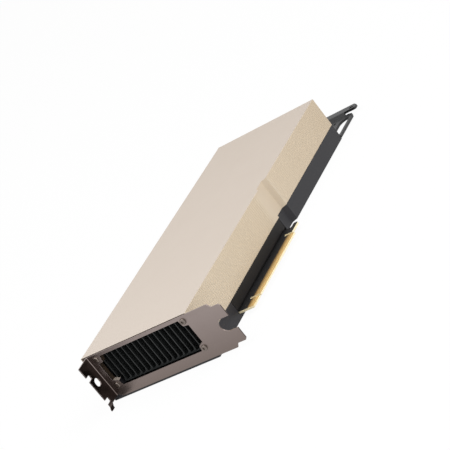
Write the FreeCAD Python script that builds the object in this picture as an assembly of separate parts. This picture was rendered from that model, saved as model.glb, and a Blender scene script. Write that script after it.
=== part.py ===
import FreeCAD, Part
import math
import os
from FreeCAD import Vector

# Full-length, dual-slot passive accelerator card. Lengths are in millimetres.
# While it is built, X runs from the I/O bracket's outer face to the far end, Y from the
# tip of the edge connector to the top edge, and Z from the underside to the front cover.

# Overall sizes
body_end = 267.7
connector_side = 13.5
top_side = 111.3
cover_level = 38.4
seam_level = 13.3

# Sheet and wall sizes
side_wall = 1.8
cover_sheet = 1.5
floor_sheet = 1.2
front_wall = 3.0
end_wall = 1.5
fit_gap = 0.3

# Flutes and the recess in the connector side
flute_pitch = 2.17
deep_flute = 0.6
shallow_flute = 0.35
flute_margin = 1.6
fading_flutes = 4
recess_start = 143.0
recess_end = 159.4
recess_depth = 3.0

# Circuit board
board_level = 2.67
board_thickness = 1.57
tab_start = 43.8
tab_length = 85.2
key_offset = 12.6
key_width = 1.9
key_depth = 8.0
bevel_length = 1.3
bevel_depth = 0.45
hook_slot = 2.2
hook_slot_depth = 9.5
hook_leg = 8.1
hook_reach = 5.3
hook_foot = 4.2
hook_tip = 3.4

# Edge contacts
contact_pitch = 1.0
contact_width = 0.7
contact_start = 1.3
contact_end = 6.5
contact_thickness = 0.06
first_contact = 1.1
contacts_before_key = 11
contacts_after_key = 71
key_skip = 13.0

# I/O bracket
bracket_thickness = 0.9
bracket_low = 1.8
bracket_drop = 0.4
bracket_tip = -14.3
bracket_seam = 4.0
flange_inset = 5.75
flange_depth = 12.0
flange_low = 3.8
tab_offset = 1.25
tongue_pitch = 20.32
tongue_centre = 9.65
tongue_width = 10.2
tongue_gap_end = -2.95
tongue_root = -6.0
tongue_slope = 2.0
tongue_chamfer = 1.4
notch_width = 3.5
notch_depth = 3.9
notch_centre = 7.7
flange_hole_width = 5.0
flange_hole_height = 6.2
flange_hole_x = -6.2
flange_hole_offset = 3.5
notch_corner = 1.0
bend_radius = 0.6

# Exhaust window in the bracket, the shroud and the tray
window_near = 16.6
window_far_margin = 11.1
window_low = 9.3
window_high_margin = 3.0
window_corner_width = 5.2
window_corner_height = 4.9
window_corner_slant = 0.9
window_relief = 1.3
screw_inset_width = 1.7
screw_inset_height = 1.6

# Heat sink
fin_pitch = 4.98
fin_thickness = 0.8
fin_foot = 3.6
fin_foot_steps = 5
first_fin = 23.75
sink_end_margin = 41.7
sink_base_low = 8.6
sink_base_high = 9.4
sink_margin = 3.0
sink_far_margin = 5.0

# Processor package and vapour chamber
package_x = 112.0
package_size = 55.0
package_high = 1.4
frame_width = 4.0
frame_high = 0.6
die_high = 0.96
die_length = 32.0
die_width = 26.0
memory_length = 11.0
memory_width = 8.0
memory_gap = 0.8
memory_row_gap = 0.6
chamber_start = 62.0
chamber_end = 166.0
leg_size = 5.6
cooler_screw_margin = 6.0
cooler_screw_bite = 1.4

# Power conversion parts
choke_length = 10.0
choke_width = 8.0
choke_high = 3.9
choke_pitch = 10.5
near_chokes_x = 42.0
far_chokes_x = 190.0
choke_row_margin = 6.0
first_choke_y = 28.0
stage_length = 5.0
stage_width = 6.0
stage_high = 0.9
stage_offset = 11.0
block_length = 7.3
block_width = 4.3
block_high = 4.0
block_pitch_x = 9.0
block_pitch_y = 6.4
block_columns = 2
block_end_margin = 31.0
first_block_y = 31.0

# Power inlet
inlet_length = 15.6
inlet_width = 18.8
inlet_high = 10.8
inlet_inset = 32.3
inlet_overhang = 0.6
latch_length = 7.0
latch_width = 4.4
latch_high = 1.4
cell_size = 3.5
cell_pitch = 4.2
cell_depth = 10.5
cell_columns = 4
cell_rows = 2
pin_size = 0.9
pin_length = 8.0

# Extender bracket
extender_sheet = 2.0
extender_low = 0.6
extender_near = 13.0
extender_inlet_gap = 17.0
extender_length = 36.3
extender_arm = 7.8
extender_step = 2.7
extender_run = 3.6
extender_run_steps = 6
extender_arm_tip = 10.8
extender_arm_chamfer = 3.5
extender_riser_start = 21.5
extender_corner = 6.0
extender_flange_near = 24.5
extender_flange_high = 12.0
extender_window_offset = 4.3
extender_window_length = 26.0
extender_window_near = 15.8
extender_window_far = 24.5
extender_window_corner = 6.5
extender_corner_steps = 4
extender_slot_width = 2.2
extender_slot_inset = 4.8
extender_slot_offset = 2.8
extender_hole_radius = 1.3
extender_hole_gap = 5.4
extender_hole_inset = 8.5
extender_screw_level = 8.2
extender_screw_near = 31.0
extender_screw_margin = 7.0

# Screws
screw_radius = 1.25
screw_clearance = 0.15
thread_gap = 0.02
head_radius = 2.2
head_high = 1.1
sunk_head_radius = 2.3
sunk_head_high = 0.8
screw_bite = 4.0
boss_size = 6.0
post_margin = 12.2
post_inset = 5.6
post_bore = 9.0
web_thickness = 2.0
rail_foot = 0.9
rail_foot_high = 1.6
rail_extra = 0.7
rail_lug_high = 2.2
board_screw_inset = 15.0
board_relief = 1.6

board_top = board_level + board_thickness
bore_radius = screw_radius + thread_gap
front_end = bracket_thickness + front_wall
rail_end = recess_start - side_wall + fit_gap
tab_end = tab_start + tab_length
bracket_high = cover_level - bracket_drop
flange_level = top_side - flange_inset
window_far = top_side - window_far_margin
window_high = cover_level - window_high_margin
sink_end = body_end - sink_end_margin
package_y = (connector_side + recess_depth + top_side) / 2
inlet_y = top_side - inlet_inset
post_x = body_end - post_margin
first_block_x = body_end - block_end_margin
choke_room = top_side - side_wall - choke_row_margin - choke_width / 2 - first_choke_y
choke_rows = int(choke_room / choke_pitch) + 1
block_rows = int((inlet_y - first_block_y) / block_pitch_y) - 1
extender_far = inlet_y - extender_inlet_gap
extender_screw_far = extender_far - extender_screw_margin
extender_step_x = body_end + extender_length
extender_reach = extender_step_x + extender_arm
extender_window_start = body_end + extender_window_offset
extender_window_end = extender_window_start + extender_window_length
shift = Vector(-(bracket_thickness + body_end) / 2, -(connector_side + top_side) / 2, 0)
half_turn = math.tan(math.radians(22.5))
up = Vector(0, 0, 1)
along = Vector(1, 0, 0)

os.makedirs("parts", exist_ok=True)


def block(x0, x1, y0, y1, z0, z1):
    return Part.makeBox(x1 - x0, y1 - y0, z1 - z0, Vector(x0, y0, z0))


def rod(x, y, z, radius, length, axis):
    return Part.makeCylinder(radius, length, Vector(x, y, z), axis)


def plate(points, z0, z1):
    """Straight solid on a closed outline of (x, y) points."""
    corners = [Vector(x, y, z0) for x, y in points]
    face = Part.Face(Part.makePolygon(corners + corners[:1]))
    return face.extrude(Vector(0, 0, z1 - z0))


def sheet_yz(points, x0, x1):
    """Straight solid on a closed outline of (y, z) points."""
    corners = [Vector(x0, y, z) for y, z in points]
    face = Part.Face(Part.makePolygon(corners + corners[:1]))
    return face.extrude(Vector(x1 - x0, 0, 0))


def save(node, *solids):
    shape = solids[0] if len(solids) == 1 else Part.makeCompound(list(solids))
    shape = shape.copy()
    shape.translate(shift)
    shape.exportStep("parts/" + node + ".step")
    volume = sum(s.Volume for s in shape.Solids)
    print(node, len(shape.Solids), "solids", round(volume, 1), "mm3", shape.isValid())


def side_path(inset, start, end):
    """Connector side seen from above, moved inwards by inset, with its 45 degree recess."""
    wall_y = connector_side + inset
    floor_y = wall_y + recess_depth
    turn = inset * half_turn
    return [
        (start, wall_y),
        (recess_start - turn, wall_y),
        (recess_start + recess_depth - turn, floor_y),
        (recess_end - recess_depth + turn, floor_y),
        (recess_end + turn, wall_y),
        (end, wall_y),
    ]


def body_outline(inset, start, end):
    far_y = top_side - inset
    return side_path(inset, start, end) + [(end, far_y), (start, far_y)]


def flutes(start, end, wall_y, depth, inward, fading=0):
    """Zigzag of shallow flutes along the wall; the last ones grow shallower."""
    count = int((end - start - 2 * flute_margin) / flute_pitch)
    points = []
    for i in range(count):
        left_edge = start + flute_margin + i * flute_pitch
        share = min(1.0, (count - i) / (fading + 1))
        points.append((left_edge, wall_y))
        points.append((left_edge + flute_pitch / 2, wall_y + inward * depth * share))
    points.append((start + flute_margin + count * flute_pitch, wall_y))
    return points


def fluted_outline():
    path = side_path(0, bracket_thickness, body_end)
    near = flutes(bracket_thickness, recess_start, connector_side, deep_flute, 1, fading_flutes)
    far = flutes(recess_end, body_end, connector_side, shallow_flute, 1)
    top = flutes(bracket_thickness, body_end, top_side, deep_flute, -1)
    corners = [(body_end, top_side)] + top[::-1] + [(bracket_thickness, top_side)]
    return path[:1] + near + path[1:5] + far + path[5:] + corners


def window_outline():
    """Exhaust window with a stepped corner left for each screw."""
    near, far = window_near, window_far
    low, high = window_low, window_high
    wide, tall, slant = window_corner_width, window_corner_height, window_corner_slant
    return [
        (near, low + tall + slant),
        (near + wide - slant, low + tall - slant),
        (near + wide, low),
        (far - wide, low),
        (far - wide + slant, low + tall - slant),
        (far, low + tall + slant),
        (far, high - tall - slant / 2),
        (far - wide + slant, high - tall),
        (far - wide, high),
        (near + wide, high),
        (near + wide - slant, high - tall),
        (near, high - tall - slant / 2),
    ]


def window_screws():
    """Places (y, z) of the bracket's screws."""
    near = window_near + screw_inset_width
    far = window_far - screw_inset_width / 2
    low = window_low + screw_inset_height
    high = window_high - screw_inset_height
    return [(near, low), (far, low), (near, high), (far, high)]


def bracket_holes(x0, x1, radius):
    return [rod(x0, y, z, radius, x1 - x0, along) for y, z in window_screws()]


def posts():
    return [(post_x, connector_side + post_inset), (post_x, top_side - post_inset)]


def board_screws():
    """Places (x, y) of the screws that hold the board and the side rail on the tray's bosses."""
    y = connector_side + side_wall + boss_size / 2 + fit_gap
    return [(tab_start + board_screw_inset, y), (tab_end - board_screw_inset, y)]


def cooler_screws():
    reach = package_size / 2 + cooler_screw_margin
    return [(package_x + i * reach, package_y + j * reach) for i in (-1, 1) for j in (-1, 1)]


def extender_screw_holes(x0, x1, radius):
    return [rod(x0, y, extender_screw_level, radius, x1 - x0, along)
            for y in (extender_screw_near, extender_screw_far)]


def square_post(x, y, size, z0, z1):
    return block(x - size / 2, x + size / 2, y - size / 2, y + size / 2, z0, z1)


def shroud():
    under_cover = cover_level - cover_sheet
    shell = plate(fluted_outline(), seam_level, cover_level)
    hollow = plate(body_outline(side_wall, front_end, body_end + 1), seam_level, under_cover)
    window = sheet_yz(window_outline(), 0, front_end + 1)
    shell = shell.cut([hollow, window] + bracket_holes(0, front_end, bore_radius))
    supports = []
    for x, y in posts():
        inward = 1 if y < (connector_side + top_side) / 2 else -1
        wall_y = y + inward * (side_wall - post_inset)
        supports.append(square_post(x, y, boss_size, seam_level, under_cover))
        supports.append(block(x - web_thickness / 2, x + web_thickness / 2, min(y, wall_y), max(y, wall_y),
                              seam_level, under_cover))
    bores = [rod(x, y, seam_level, bore_radius, post_bore, up) for x, y in posts()]
    return shell.fuse(supports).cut(bores).removeSplitter()


def tray():
    inner_end = body_end - end_wall
    shell = plate(body_outline(0, bracket_thickness, body_end), 0, seam_level)
    hollow = plate(body_outline(side_wall, front_end, inner_end), floor_sheet, seam_level)
    rail_gap = block(tab_start - fit_gap, rail_end + fit_gap, connector_side - 1, connector_side + side_wall,
                     board_level, seam_level)
    inlet_gap = block(inner_end - 1, body_end + 1, inlet_y - fit_gap, inlet_y + inlet_width + fit_gap,
                      board_top, seam_level)
    window = sheet_yz(window_outline(), 0, front_end + 1)
    relief = block(0, front_end + 1, window_near + window_corner_width, window_far - window_corner_width,
                   window_low - window_relief, window_low)
    openings = [hollow, rail_gap, inlet_gap, window, relief] + bracket_holes(0, front_end, bore_radius)
    middle = floor_sheet / 2
    bosses = [square_post(x, y, boss_size, middle, board_level) for x, y in board_screws() + cooler_rests()]
    bosses += [square_post(x, y, boss_size, middle, seam_level) for x, y in posts()]
    half = boss_size / 2
    for y in (extender_screw_near, extender_screw_far):
        bosses.append(block(inner_end - screw_bite, inner_end, y - half, y + half,
                            extender_screw_level - half, extender_screw_level + half))
    holes = extender_screw_holes(inner_end - screw_bite - 1, body_end + 1, bore_radius)
    for x, y in board_screws() + posts():
        holes.append(rod(x, y, 0, screw_radius + screw_clearance, seam_level, up))
        holes.append(sunk_head(x, y))
    return shell.cut(openings).fuse(bosses).cut(holes).removeSplitter()


def cooler_rests():
    """Places (x, y) of the tray's bosses under the processor, clear of the cooler's screws."""
    reach = package_size / 2
    return [(package_x - reach, package_y), (package_x + reach, package_y)]


def sunk_head(x, y):
    """Low head whose flat lies in the underside."""
    return rod(x, y, 0, sunk_head_radius, sunk_head_high, up)


def sunk_screws(places, tip_level):
    screws = []
    for x, y in places:
        shank = rod(x, y, 0, screw_radius, tip_level, up)
        screws.append(sunk_head(x, y).fuse(shank).removeSplitter())
    return screws


def rail():
    inner = connector_side + side_wall + rail_extra
    profile = [
        (connector_side + rail_foot, board_top),
        (inner, board_top),
        (inner, seam_level),
        (connector_side, seam_level),
        (connector_side, board_top + rail_foot_high),
    ]
    bar = sheet_yz(profile, tab_start, rail_end)
    lugs = []
    holes = []
    for x, y in board_screws():
        lugs.append(block(x - boss_size / 2, x + boss_size / 2, connector_side + side_wall,
                          y + boss_size / 2, board_top, board_top + rail_lug_high))
        holes.append(rod(x, y, board_top, bore_radius, rail_lug_high, up))
    return bar.fuse(lugs).cut(holes).removeSplitter()


def board_outline():
    inner = connector_side + side_wall + fit_gap
    deep = inner + recess_depth
    leg = tab_end + hook_slot
    root = leg + hook_leg
    tip = root + hook_reach
    step = recess_start - board_relief
    foot_top = hook_tip + hook_foot
    return [
        (front_end + fit_gap, inner),
        (tab_start, inner),
        (tab_start, 0.4),
        (tab_start + 0.4, 0),
        (tab_end - 0.4, 0),
        (tab_end, 0.4),
        (tab_end, hook_slot_depth),
        (leg, hook_slot_depth),
        (leg, hook_tip),
        (tip - 1.2, hook_tip),
        (tip, hook_tip + 1.2),
        (tip, foot_top - 0.8),
        (tip - 0.8, foot_top),
        (root + 0.8, foot_top),
        (root, foot_top + 0.8),
        (root, inner),
        (step, inner),
        (step, deep),
        (recess_end + board_relief, deep),
        (recess_end + board_relief, inner),
        (body_end - end_wall - fit_gap, inner),
        (body_end - end_wall - fit_gap, top_side - side_wall - fit_gap),
        (front_end + fit_gap, top_side - side_wall - fit_gap),
    ]


def board():
    card = plate(board_outline(), board_level, board_top)
    key_x = tab_start + key_offset
    cuts = [block(key_x - key_width / 2, key_x + key_width / 2, -1, key_depth, board_level, board_top)]
    cuts.append(rod(key_x, key_depth, board_level, key_width / 2, board_thickness, up))
    bevel = [(-0.1, board_top - bevel_depth), (bevel_length, board_top), (-0.1, board_top + 0.1)]
    cuts.append(sheet_yz(bevel, tab_start - 1, tab_end + 1))
    bevel = [(-0.1, board_level + bevel_depth), (bevel_length, board_level), (-0.1, board_level - 0.1)]
    cuts.append(sheet_yz(bevel, tab_start - 1, tab_end + 1))
    for x, y in board_screws() + cooler_screws():
        cuts.append(rod(x, y, board_level, screw_radius + screw_clearance, board_thickness, up))
    cuts += [square_post(x, y, boss_size + 2 * fit_gap, board_level, board_top) for x, y in posts()]
    return card.cut(cuts).removeSplitter()


def contact_places():
    start = tab_start + first_contact
    before = [start + i * contact_pitch for i in range(contacts_before_key)]
    after = [start + key_skip + i * contact_pitch for i in range(contacts_after_key)]
    return before + after


def contacts(level):
    half = contact_width / 2
    return [block(x - half, x + half, contact_start, contact_end, level, level + contact_thickness)
            for x in contact_places()]


def tongue_notch(x0, x1):
    radius = (tongue_pitch - tongue_width) / 2
    centre_z = tongue_centre + tongue_pitch / 2
    centre_y = tongue_gap_end - radius
    slot = block(x0, x1, bracket_tip - 1, centre_y, centre_z - radius, centre_z + radius)
    return slot.fuse(rod(x0, centre_y, centre_z, radius, x1 - x0, along))


def folded_strip(start_y):
    """Plate and flange as one bent sheet, seen along Z, with round inner and outer bends."""
    sheet = bracket_thickness
    top = flange_level + sheet
    turn = math.sqrt(0.5)
    inner_mid = Vector(-bend_radius * (1 - turn), flange_level - bend_radius * (1 - turn), flange_low)
    radius = bend_radius + sheet
    outer_mid = Vector(sheet - radius * (1 - turn), top - radius * (1 - turn), flange_low)

    def point(x, y):
        return Vector(x, y, flange_low)

    edges = [
        Part.LineSegment(point(0, start_y), point(0, flange_level - bend_radius)),
        Part.Arc(point(0, flange_level - bend_radius), inner_mid, point(-bend_radius, flange_level)),
        Part.LineSegment(point(-bend_radius, flange_level), point(-flange_depth, flange_level)),
        Part.LineSegment(point(-flange_depth, flange_level), point(-flange_depth, top)),
        Part.LineSegment(point(-flange_depth, top), point(sheet - radius, top)),
        Part.Arc(point(sheet - radius, top), outer_mid, point(sheet, top - radius)),
        Part.LineSegment(point(sheet, top - radius), point(sheet, start_y)),
        Part.LineSegment(point(sheet, start_y), point(0, start_y)),
    ]
    section = Part.Face(Part.Wire([e.toShape() for e in edges]))
    return section.extrude(Vector(0, 0, bracket_high - flange_low))


def flange_cuts():
    """Two open screw notches with round inner corners, and the slotted hole."""
    low = flange_level - 1
    high = flange_level + 2
    end = notch_depth - flange_depth
    half = notch_width / 2
    corner = notch_corner
    across = Vector(0, 1, 0)
    cuts = []
    for z in (notch_centre, notch_centre + tongue_pitch):
        cuts.append(block(-flange_depth - 1, end - corner, low, high, z - half, z + half))
        cuts.append(block(end - corner - 0.1, end, low, high, z - half + corner, z + half - corner))
        for side in (-1, 1):
            cuts.append(rod(end - corner, low, z + side * (half - corner), corner, high - low, across))
    radius = flange_hole_width / 2
    straight = (flange_hole_height - flange_hole_width) / 2
    z = notch_centre + tongue_pitch / 2 + flange_hole_offset
    for side in (-1, 1):
        cuts.append(rod(flange_hole_x, low, z + side * straight, radius, high - low, across))
    cuts.append(block(flange_hole_x - radius, flange_hole_x + radius, low, high, z - straight, z + straight))
    return cuts


def bent_tab():
    """End tab of the flange, set outwards by a shallow double bend."""
    start = notch_centre - notch_width / 2
    drop = flange_low / 5
    shares = [0, 0.15, 0.55, 0.9, 1]
    inner = [(flange_level, start)]
    inner += [(flange_level + tab_offset * share, flange_low - i * drop) for i, share in enumerate(shares)]
    inner.append((flange_level + tab_offset, 0))
    outer = [(y + bracket_thickness, z) for y, z in inner]
    return sheet_yz(outer + inner[::-1], -flange_depth, notch_depth - flange_depth)


def bracket():
    base = bracket_thickness
    seam = flange_level - bracket_seam
    top_tongue = tongue_centre + tongue_pitch + tongue_width / 2
    low_tongue = tongue_centre - tongue_width / 2
    outline = [
        (seam, bracket_high),
        (tongue_root + tongue_slope / 3, bracket_high),
        (tongue_root - 2 * tongue_slope / 3, top_tongue),
        (bracket_tip + tongue_chamfer, top_tongue),
        (bracket_tip, top_tongue - tongue_chamfer),
        (bracket_tip, low_tongue + tongue_chamfer),
        (bracket_tip + tongue_chamfer, low_tongue),
        (tongue_root, low_tongue),
        (tongue_root + tongue_slope, bracket_low),
        (seam, bracket_low),
    ]
    face = sheet_yz(outline, 0, base)
    corner_end = flange_level - bend_radius - base
    corner = sheet_yz([(seam, bracket_low), (seam, flange_low), (corner_end, flange_low)], 0, base)
    cuts = [sheet_yz(window_outline(), -1, base + 1), tongue_notch(-1, base + 1)]
    cuts += bracket_holes(-1, base + 1, screw_radius + screw_clearance) + flange_cuts()
    return face.fuse([corner, folded_strip(seam), bent_tab()]).cut(cuts).removeSplitter()


def face_screws(places, x, length, inward):
    """Screws along X with low heads; inward is +1 when the shank points towards +X."""
    screws = []
    for y, z in places:
        head = rod(x, y, z, head_radius, head_high, along * -inward)
        shank = rod(x, y, z, screw_radius, length, along * inward)
        screws.append(head.fuse(shank).removeSplitter())
    return screws


def fin_places():
    count = int((top_side - side_wall - sink_far_margin - first_fin) / fin_pitch) + 1
    return [first_fin + i * fin_pitch for i in range(count)]


def heat_sink():
    """Upright fins whose feet all curve towards the top edge and meet the base."""
    low = sink_base_high
    high = cover_level - cover_sheet - fit_gap
    half = fin_thickness / 2
    near = first_fin - sink_margin
    far = fin_places()[-1] + half + fin_foot
    outline = [(near, sink_base_low), (near, low)]
    for y in fin_places():
        outline += [(y - half, low), (y - half, high), (y + half, high)]
        for i in range(fin_foot_steps + 1):
            turn = math.radians(90 * i / fin_foot_steps)
            outline.append((y + half + fin_foot * (1 - math.cos(turn)),
                            low + fin_foot * (1 - math.sin(turn))))
    outline.append((far, sink_base_low))
    return sheet_yz(outline, front_end + fit_gap, sink_end)


def package():
    return square_post(package_x, package_y, package_size, board_top, board_top + package_high)


def die():
    level = board_top + package_high
    return block(package_x - die_width / 2, package_x + die_width / 2, package_y - die_length / 2,
                 package_y + die_length / 2, level, level + die_high)


def memory():
    level = board_top + package_high
    stacks = []
    for side in (-1, 1):
        centre_x = package_x + side * (die_width / 2 + memory_width / 2 + memory_gap)
        for row in (-1, 0, 1):
            centre_y = package_y + row * (memory_length + memory_row_gap)
            stacks.append(block(centre_x - memory_width / 2, centre_x + memory_width / 2,
                                centre_y - memory_length / 2, centre_y + memory_length / 2,
                                level, level + die_high))
    return stacks


def package_frame():
    level = board_top + package_high
    ring = square_post(package_x, package_y, package_size, level, level + frame_high)
    inside = package_size - 2 * frame_width
    return ring.cut(square_post(package_x, package_y, inside, level, level + frame_high))


def chamber():
    level = board_top + package_high + die_high
    half_width = package_size / 2 + cooler_screw_margin + leg_size / 2
    slab = block(chamber_start, chamber_end, package_y - half_width, package_y + half_width,
                 level, sink_base_low)
    legs = [square_post(x, y, leg_size, board_top, level) for x, y in cooler_screws()]
    bore = level - board_top + cooler_screw_bite
    bores = [rod(x, y, board_top, bore_radius, bore, up) for x, y in cooler_screws()]
    return slab.fuse(legs).cut(bores).removeSplitter()


def cooler_screw_set():
    """Hexagon screws put in from behind the board, up into the vapour chamber's legs."""
    length = board_thickness + package_high + die_high + cooler_screw_bite
    screws = []
    for x, y in cooler_screws():
        turns = [math.radians(60 * i) for i in range(6)]
        hexagon = [(x + head_radius * math.cos(turn), y + head_radius * math.sin(turn)) for turn in turns]
        head = plate(hexagon, board_level - sunk_head_high, board_level)
        screws.append(head.fuse(rod(x, y, board_level, screw_radius, length, up)).removeSplitter())
    return screws


def choke_places():
    return [(x, first_choke_y + i * choke_pitch) for x in (near_chokes_x, far_chokes_x)
            for i in range(choke_rows)]


def chokes():
    return [block(x - choke_length / 2, x + choke_length / 2, y - choke_width / 2, y + choke_width / 2,
                  board_top, board_top + choke_high) for x, y in choke_places()]


def thermal_pads():
    half = choke_length / 2
    low = first_choke_y - choke_width / 2
    high = first_choke_y + (choke_rows - 1) * choke_pitch + choke_width / 2
    return [block(x - half, x + half, low, high, board_top + choke_high, sink_base_low)
            for x in (near_chokes_x, far_chokes_x)]


def power_stages():
    solids = []
    for x, y in choke_places():
        centre = x + (stage_offset if x < package_x else -stage_offset)
        solids.append(block(centre - stage_length / 2, centre + stage_length / 2, y - stage_width / 2,
                            y + stage_width / 2, board_top, board_top + stage_high))
    return solids


def capacitors():
    return [block(first_block_x + i * block_pitch_x, first_block_x + i * block_pitch_x + block_length,
                  first_block_y + j * block_pitch_y, first_block_y + j * block_pitch_y + block_width,
                  board_top, board_top + block_high)
            for i in range(block_columns) for j in range(block_rows)]


def cell_centres():
    first_y = inlet_y + inlet_width / 2 - cell_pitch * (cell_columns - 1) / 2
    first_z = board_top + inlet_high / 2 - cell_pitch * (cell_rows - 1) / 2
    return [(first_y + i * cell_pitch, first_z + j * cell_pitch)
            for i in range(cell_columns) for j in range(cell_rows)]


def inlet():
    mouth = body_end + inlet_overhang
    housing = block(mouth - inlet_length, mouth, inlet_y, inlet_y + inlet_width, board_top,
                    board_top + inlet_high)
    middle = inlet_y + inlet_width / 2
    latch = block(mouth - latch_length, mouth, middle - latch_width / 2, middle + latch_width / 2,
                  board_top + inlet_high, board_top + inlet_high + latch_high)
    half = cell_size / 2
    cells = [block(mouth - cell_depth, mouth, y - half, y + half, z - half, z + half)
             for y, z in cell_centres()]
    return housing.fuse(latch).cut(cells).removeSplitter()


def inlet_pins():
    half = pin_size / 2
    back = body_end + inlet_overhang - cell_depth
    return [block(back, back + pin_length, y - half, y + half, z - half, z + half)
            for y, z in cell_centres()]


def joggle(top):
    """Double bend, seen along Y, that lifts the guide arm above the low plate."""
    start = extender_step_x - extender_run
    upper = []
    for i in range(extender_run_steps + 1):
        share = i / extender_run_steps
        rise = extender_step * (1 - math.cos(math.pi * share)) / 2
        upper.append((start + extender_run * share, top + rise))
    lower = [(x + extender_sheet / 3, z - extender_sheet) for x, z in upper]
    outline = [(start, extender_low)] + upper + lower[::-1]
    corners = [Vector(x, extender_riser_start, z) for x, z in outline]
    face = Part.Face(Part.makePolygon(corners + corners[:1]))
    return face.extrude(Vector(0, extender_far - extender_riser_start, 0))


def extender_window(z0, z1):
    """Window in the low plate with one widely rounded corner."""
    corner = extender_window_corner
    outline = [
        (extender_window_start, extender_window_far),
        (extender_window_start, extender_window_near),
        (extender_window_end - 1, extender_window_near),
        (extender_window_end, extender_window_near + 1),
    ]
    for i in range(extender_corner_steps + 1):
        turn = math.radians(90 * i / extender_corner_steps)
        outline.append((extender_window_end - corner * (1 - math.cos(turn)),
                        extender_window_far - corner * (1 - math.sin(turn))))
    return plate(outline, z0, z1)


def extender():
    """Sheet bracket on the far end: a flange, a low plate and a guide arm one joggle higher."""
    top = extender_low + extender_sheet
    arm_top = top + extender_step
    corner = extender_corner
    low = plate([
        (body_end, extender_near),
        (extender_step_x - corner, extender_near),
        (extender_step_x - corner * 0.3, extender_near + corner * 0.35),
        (extender_step_x, extender_near + corner),
        (extender_step_x, extender_riser_start),
        (extender_step_x - extender_run, extender_riser_start),
        (extender_step_x - extender_run, extender_far),
        (body_end, extender_far),
    ], extender_low, top)
    arm = plate([
        (extender_step_x, extender_arm_tip + 1),
        (extender_step_x + 1, extender_arm_tip),
        (extender_reach - extender_arm_chamfer, extender_arm_tip),
        (extender_reach, extender_arm_tip + extender_arm_chamfer),
        (extender_reach, extender_far),
        (extender_step_x, extender_far),
    ], arm_top - extender_sheet, arm_top)
    upright = block(body_end, body_end + extender_sheet, extender_flange_near, extender_far,
                    extender_low, extender_flange_high)
    slot_x = extender_step_x + extender_slot_offset
    slot_y = extender_arm_tip + extender_slot_inset
    half = extender_slot_width / 2
    cuts = [extender_window(extender_low, top)]
    cuts.append(square_post(slot_x, slot_y, extender_slot_width, arm_top - extender_sheet, arm_top))
    for side in (-1, 1):
        cuts.append(rod(slot_x, slot_y + side * half, arm_top - extender_sheet, half, extender_sheet, up))
    cuts.append(rod(extender_step_x - extender_hole_inset, extender_window_far + extender_hole_gap,
                    extender_low, extender_hole_radius, extender_sheet, up))
    cuts += extender_screw_holes(body_end, body_end + extender_sheet, screw_radius + screw_clearance)
    return low.fuse([joggle(top), arm, upright]).cut(cuts).removeSplitter()


save("shroud", shroud())
save("base_tray", tray())
save("side_rail", rail())
save("circuit_board", board())
save("edge_contacts_front", *contacts(board_top))
save("edge_contacts_back", *contacts(board_level - contact_thickness))
save("io_bracket", bracket())
save("bracket_screws", *face_screws(window_screws(), 0, front_end - fit_gap, 1))
save("heat_sink", heat_sink())
save("processor_substrate", package())
save("processor_die", die())
save("memory_stacks", *memory())
save("package_frame", package_frame())
save("vapour_chamber", chamber())
save("inductors", *chokes())
save("thermal_pads", *thermal_pads())
save("power_stages", *power_stages())
save("capacitors", *capacitors())
save("power_inlet", inlet())
save("inlet_pins", *inlet_pins())
save("extender_bracket", extender())
extender_places = [(y, extender_screw_level) for y in (extender_screw_near, extender_screw_far)]
save("extender_screws",
     *face_screws(extender_places, body_end + extender_sheet, extender_sheet + screw_bite, -1))
save("board_screws", *sunk_screws(board_screws(), board_top + rail_lug_high - screw_clearance))
save("cooler_screws", *cooler_screw_set())
save("shroud_screws", *sunk_screws(posts(), seam_level + post_bore - 1))
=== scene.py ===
import math

import bpy
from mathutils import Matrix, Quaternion, Vector


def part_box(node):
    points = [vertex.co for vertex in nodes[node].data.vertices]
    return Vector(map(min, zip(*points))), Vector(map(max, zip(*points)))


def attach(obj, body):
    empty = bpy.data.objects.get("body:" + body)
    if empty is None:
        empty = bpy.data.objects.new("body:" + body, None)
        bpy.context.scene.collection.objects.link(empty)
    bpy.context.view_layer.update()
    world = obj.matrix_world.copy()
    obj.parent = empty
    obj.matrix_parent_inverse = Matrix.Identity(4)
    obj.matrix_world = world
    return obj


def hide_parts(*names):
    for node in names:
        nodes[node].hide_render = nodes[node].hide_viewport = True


mm = 0.001

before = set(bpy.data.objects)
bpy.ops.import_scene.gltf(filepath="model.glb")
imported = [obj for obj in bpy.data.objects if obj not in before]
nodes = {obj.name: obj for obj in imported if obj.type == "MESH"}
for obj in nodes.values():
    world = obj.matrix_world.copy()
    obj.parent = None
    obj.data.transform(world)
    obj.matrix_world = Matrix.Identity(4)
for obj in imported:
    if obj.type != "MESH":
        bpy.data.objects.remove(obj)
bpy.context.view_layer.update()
bpy.ops.object.select_all(action="DESELECT")
print("frame loaded,", len(nodes), "nodes")


def activate(piece):
    bpy.ops.object.select_all(action="DESELECT")
    piece.select_set(True)
    bpy.context.view_layer.objects.active = piece


def startEdit(piece):
    activate(piece)
    bpy.ops.object.mode_set(mode="EDIT")
    bpy.ops.mesh.select_all(action="DESELECT")


def endEdit():
    bpy.ops.object.mode_set(mode="OBJECT")


def pick(piece, kind, test):
    # selects the points, edges or faces that pass the test; edit mode before and after
    bpy.ops.mesh.select_mode(type=kind)
    bpy.ops.mesh.select_all(action="DESELECT")
    bpy.ops.object.mode_set(mode="OBJECT")
    mesh = piece.data
    if kind == "VERT":
        for vertex in mesh.vertices:
            vertex.select = test(vertex.co)
    elif kind == "EDGE":
        for edge in mesh.edges:
            a, b = (mesh.vertices[i].co for i in edge.vertices)
            edge.select = test(a, b)
    else:
        for face in mesh.polygons:
            face.select = test(face.center, face.normal)
    bpy.ops.object.mode_set(mode="EDIT")


def applyAll(piece):
    activate(piece)
    for modifier in list(piece.modifiers):
        bpy.ops.object.modifier_apply(modifier=modifier.name)


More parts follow.
